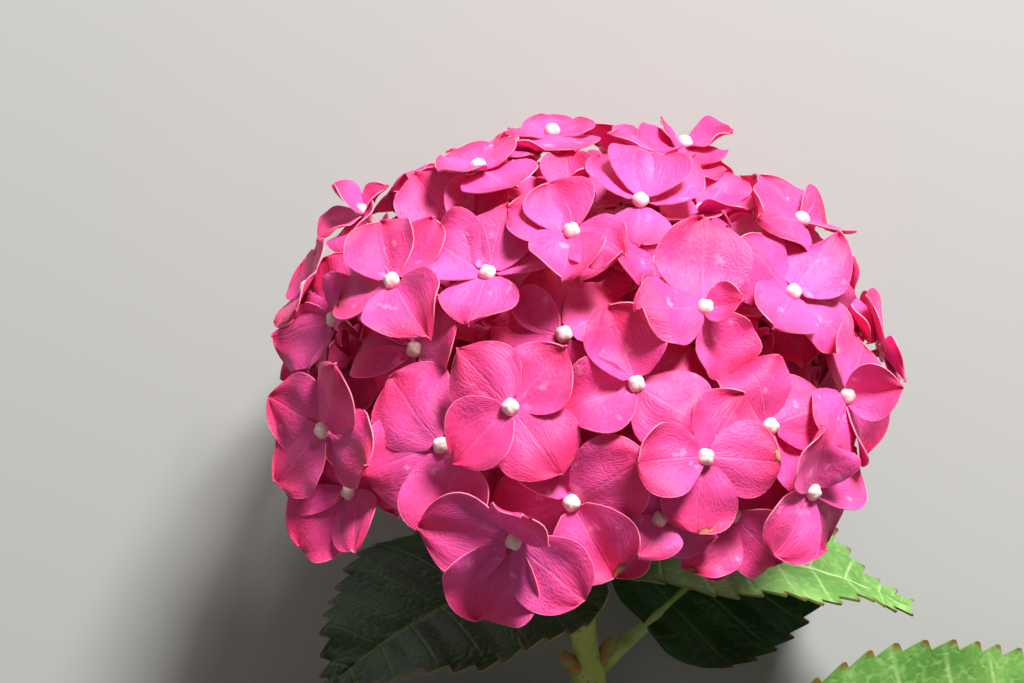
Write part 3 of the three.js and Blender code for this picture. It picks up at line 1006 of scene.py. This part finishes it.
# Leaves: three opposite pairs on short round stalks. A blade is broad and oval with a drawn-out
# tip, coarse forward teeth, a stout midrib that stands out below, and side veins that arch
# forward and pucker the green between them.
leaf_thickness = 0.7
leaf_teeth = 15
rows_to_a_tooth = 8
leaf_columns = 36
tooth_depth = 2.2
tooth_front = 0.7
tooth_back = 0.3
tooth_edge = 8
teeth_onset = 12
tip_half_width = 0.9
blade_fullness = 0.6
vein_pairs = 8
pucker = 0.9
pucker_power = 0.6
pucker_edge = 4
pucker_onset = 8
edge_wave = 1.2
edge_waves = 3.2
vein_sweep = 0.55
base_sweep = 0.35
blade_fold = 0.2
blade_arch = 0.0032
blade_shift = 0.62
tip_pinch = 0.3
pinch_power = 4
stalk_radius = 2.1
stalk_foot_radius = 2.8
stalk_sunk = 1.5
rib_steps = 14
rib_sides = 14
rib_reach = 0.93
rib_drop = 0.9
rib_radii = (1.9, 0.35)

# A leaf sits at a distance from the head. Its stalk has a heading and a climb. Its facing turns
# the upper side from towards the head at 0 to straight up at 90, and its blade droops by an angle.
leaf_traits = ("at", "heading", "climb", "facing", "droop", "stalk", "length", "width")
leaves = {
    "leaf_upper_left": (60, 186, 33, 20, 36, 5, 81, 77),
    "leaf_upper_right": (60, 9, 6, 30, 44, 12, 84, 42),
    "leaf_middle_right": (96, 42, -2, 80, 20, 22, 74, 58),
    "leaf_middle_left": (96, 222, 18, 70, 46, 30, 104, 74),
    "leaf_lower_right": (170, 28, 14, 100, 48, 42, 112, 76),
    "leaf_lower_left": (170, 168, 10, 84, 36, 28, 98, 70),
}
leaves = {name: dict(zip(leaf_traits, sizes)) for name, sizes in leaves.items()}


def blade_points(leaf, share, sideways, forward):
    """Points of the blade's middle surface in the leaf's own frame, and its upward directions."""
    swept = vein_sweep * (np.sqrt(share) - base_sweep) * abs(sideways)
    reach = share * leaf["length"] + swept + forward
    bend = math.radians(leaf["droop"]) / leaf["length"]
    upward = np.stack([np.sin(bend * reach), 0 * reach, np.cos(bend * reach)], axis=-1)
    rise = blade_fold * abs(sideways) - blade_arch * sideways ** 2
    out = leaf["stalk"] + upward[..., 0] / bend
    points = np.stack([out, sideways, (upward[..., 2] - 1) / bend], axis=-1)
    return points + upward * rise[..., None], upward


def half_width(leaf, share):
    """Half the blade's width at a share of its length, without the teeth."""
    power = blade_fullness + blade_fullness * share
    pinched = 1 - tip_pinch * share ** pinch_power
    full = np.sin(math.pi * share ** blade_shift) ** power * pinched
    return np.maximum(tip_half_width, leaf["width"] / 2 * full)


def leaf_frame(leaf):
    """The leaf's own directions as rows: along its stalk, across it, and out of its upper side."""
    x = direction(leaf["heading"], leaf["climb"])
    z = square_to(x, direction(90, leaf["facing"]))
    return np.stack([x, np.cross(z, x), z])


tooth_brown = srgb(112, 66, 34)


def leaf_finish(name, body, light, vein_colour):
    """Two greens that run into each other, under paler veins, with brown tips on the teeth."""
    finish = Finish(name, Roughness=0.46, Specular_IOR_Level=0.35)
    across = abs(finish.uv(0) * 2 - 1)
    along = finish.uv(1)
    side_vein = abs((along * vein_pairs + 0.5) % 1 - 0.5)
    veins = 1 - side_vein.step(0.01, 0.07)
    veins = veins * (1 - across.step(0.75, 1.0) * 0.7)
    midrib = 1 - across.step(0.015, 0.06)
    spread = finish.noise(scale=45, detail=4)
    drift = finish.noise(scale=160, detail=2) * 0.004
    strayed = finish.node("ShaderNodeVectorMath", {}, {0: finish.place(), 1: drift})
    cells = finish.node(
        "ShaderNodeTexVoronoi", {"feature": "SMOOTH_F1"}, {"Vector": strayed, "Scale": 620}
    )
    net = cells.step(0.35, 0.8)
    colour = finish.blend(spread.step(0.3, 0.7), body, light)
    colour = finish.blend(net * 0.22, colour, vein_colour)
    colour = finish.blend(veins * 0.42, colour, vein_colour)
    colour = finish.blend(midrib * 0.8, colour, vein_colour)
    from_tip = abs((along * leaf_teeth) % 1 - tooth_front)
    browned = (1 - from_tip.step(0.1, 0.25)) * across.step(0.95, 0.99)
    colour = finish.blend(browned * 0.8, colour, tooth_brown)
    finish.set("Base Color", colour)
    finish.bump(net * -0.35 + veins * -0.4 + finish.noise(scale=600, detail=3) * 0.3, depth=0.45)
    return finish.material


# Painted shade: the darker copy of the leaf finish stands for leaves in the head's shadow; the
# lighter one is the leaves' own green.
painted_shade_leaf = leaf_finish("leaf_painted_shade", srgb(24, 52, 18), srgb(44, 82, 28), srgb(84, 118, 58))
green_leaf = leaf_finish("leaf_green", srgb(78, 126, 52), srgb(118, 162, 80), srgb(176, 204, 134))
petiole_finish = stalk_finish("leaf_stalk", srgb(146, 172, 88), srgb(176, 196, 116), scale=160)
margin_finish = Finish("leaf_margin", Base_Color=srgb(120, 128, 62), Roughness=0.6).material
# The leaves that lie under the head take the copy darkened as painted shade.
leaf_looks = {
    "leaf_upper_left": painted_shade_leaf,
    "leaf_upper_right": green_leaf,
    "leaf_middle_right": painted_shade_leaf,
    "leaf_middle_left": painted_shade_leaf,
    "leaf_lower_right": green_leaf,
    "leaf_lower_left": green_leaf,
}
across, along, blade_faces = grid(leaf_columns, leaf_teeth * rows_to_a_tooth)
for name, leaf in leaves.items():
    teeth = (along * leaf_teeth) % 1
    saw = np.where(teeth < tooth_front, teeth / tooth_front, (1 - teeth) / tooth_back)
    margin = abs(across) ** tooth_edge * tooth_depth * saw * np.clip(along * teeth_onset, 0, 1)
    sideways = across * half_width(leaf, along) + np.sign(across) * margin
    points, upward = blade_points(leaf, along, sideways, margin)
    between_veins = 0.5 - 0.5 * np.cos(2 * math.pi * (along * vein_pairs + 0.5))
    inner = np.clip(abs(across) * pucker_onset, 0, 1) * (1 - abs(across) ** pucker_edge)
    swell = pucker * (between_veins ** pucker_power - 0.5) * inner
    wave = edge_wave * np.sin(2 * math.pi * along * edge_waves + np.sign(across)) * across ** 2
    points = points + upward * (swell + wave)[:, None]
    basis = leaf_frame(leaf)
    origin = stem_line[leaf["at"]]
    piece = sheets(
        name + "_blade", [points @ basis + origin], blade_faces, across, along, leaf_thickness,
        [leaf_looks[name], margin_finish],
    )
    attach(piece, "root")
    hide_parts(name)
    run = np.linspace(0, 1, rib_steps + 1)
    rib, upward = blade_points(leaf, rib_reach * run, 0 * run, 0 * run)
    rib = rib - upward * rib_drop
    foot = [stem_radius(leaf["at"]) - stalk_sunk, 0, -1]
    middle = [leaf["stalk"] / 2 + 1, 0, -rib_drop]
    line = np.concatenate([[foot, middle], rib]) @ basis + origin
    rib_taper = np.linspace(*rib_radii, rib_steps + 1)
    radii = np.concatenate([[stalk_foot_radius, stalk_radius], rib_taper])
    piece = tubes(name + "_stalk", [(line, radii)], rib_sides, petiole_finish)
    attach(piece, "root")

# In the corner above each leaf sits a bud: a small pointed cone, green flushed with red. It grows
# out of the stem's side and points towards the head.
bud_back = 4
corner_length = 7
corner_lean = 2.5
corner_radius = 2.5
corner_tip = 0.15
corner_steps = 10
corner_sides = 12
corner_finish = stalk_finish("corner_bud", srgb(150, 150, 74), srgb(176, 96, 70), scale=260)
cones = []
for leaf in leaves.values():
    way = stem_ways[leaf["at"] - bud_back]
    start = stem_line[leaf["at"] - bud_back]
    side = square_to(way, direction(leaf["heading"], leaf["climb"]))
    root = start + side * stem_radius_at_top / 2
    tip = start + side * (stem_radius(leaf["at"]) + corner_lean) - way * corner_length
    line = curve_through(root, side, tip, -way, corner_steps)
    share = np.linspace(0, 1, corner_steps + 1)
    cones.append((line, corner_radius * np.sqrt(1 - share ** 2) + corner_tip))
piece = tubes("corner_buds", cones, corner_sides, corner_finish)
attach(piece, "root")

# The pale floor that the shoot lies on, and soft studio light that comes from beyond the head
# and from its right, with a weak fill from the other side and from the room.
floor_finish = Finish("floor", Base_Color=(0.4, 0.4, 0.385, 1), Roughness=0.9).material
bpy.ops.mesh.primitive_plane_add(size=6, location=(0, 0, 0))
floor = bpy.context.object
floor.name = "floor"
floor.data.materials.append(floor_finish)


def soft_light(name, place, size, power):
    """A square light that looks at the head, with its place and size in metres."""
    bpy.ops.object.light_add(type="AREA", location=place)
    light = bpy.context.object
    light.name = name
    light.data.size = size
    light.data.energy = power
    aim = rim_middle * mm - np.array(place)
    light.rotation_euler = (
        math.atan2(math.hypot(aim[0], aim[1]), -aim[2]),
        0,
        math.atan2(aim[1], aim[0]) - math.pi / 2,
    )


soft_light("key", place=(0.5, 1.25, 0.98), size=0.42, power=57)
soft_light("fill", place=(-0.9, -0.5, 1.4), size=1.2, power=0.8)
room = bpy.data.worlds.new("room")
room.use_nodes = True
background = room.node_tree.nodes["Background"]
background.inputs["Color"].default_value = (1, 0.94, 0.92, 1)
background.inputs["Strength"].default_value = 0.18
bpy.context.scene.world = room
bpy.context.scene.view_settings.view_transform = "Standard"
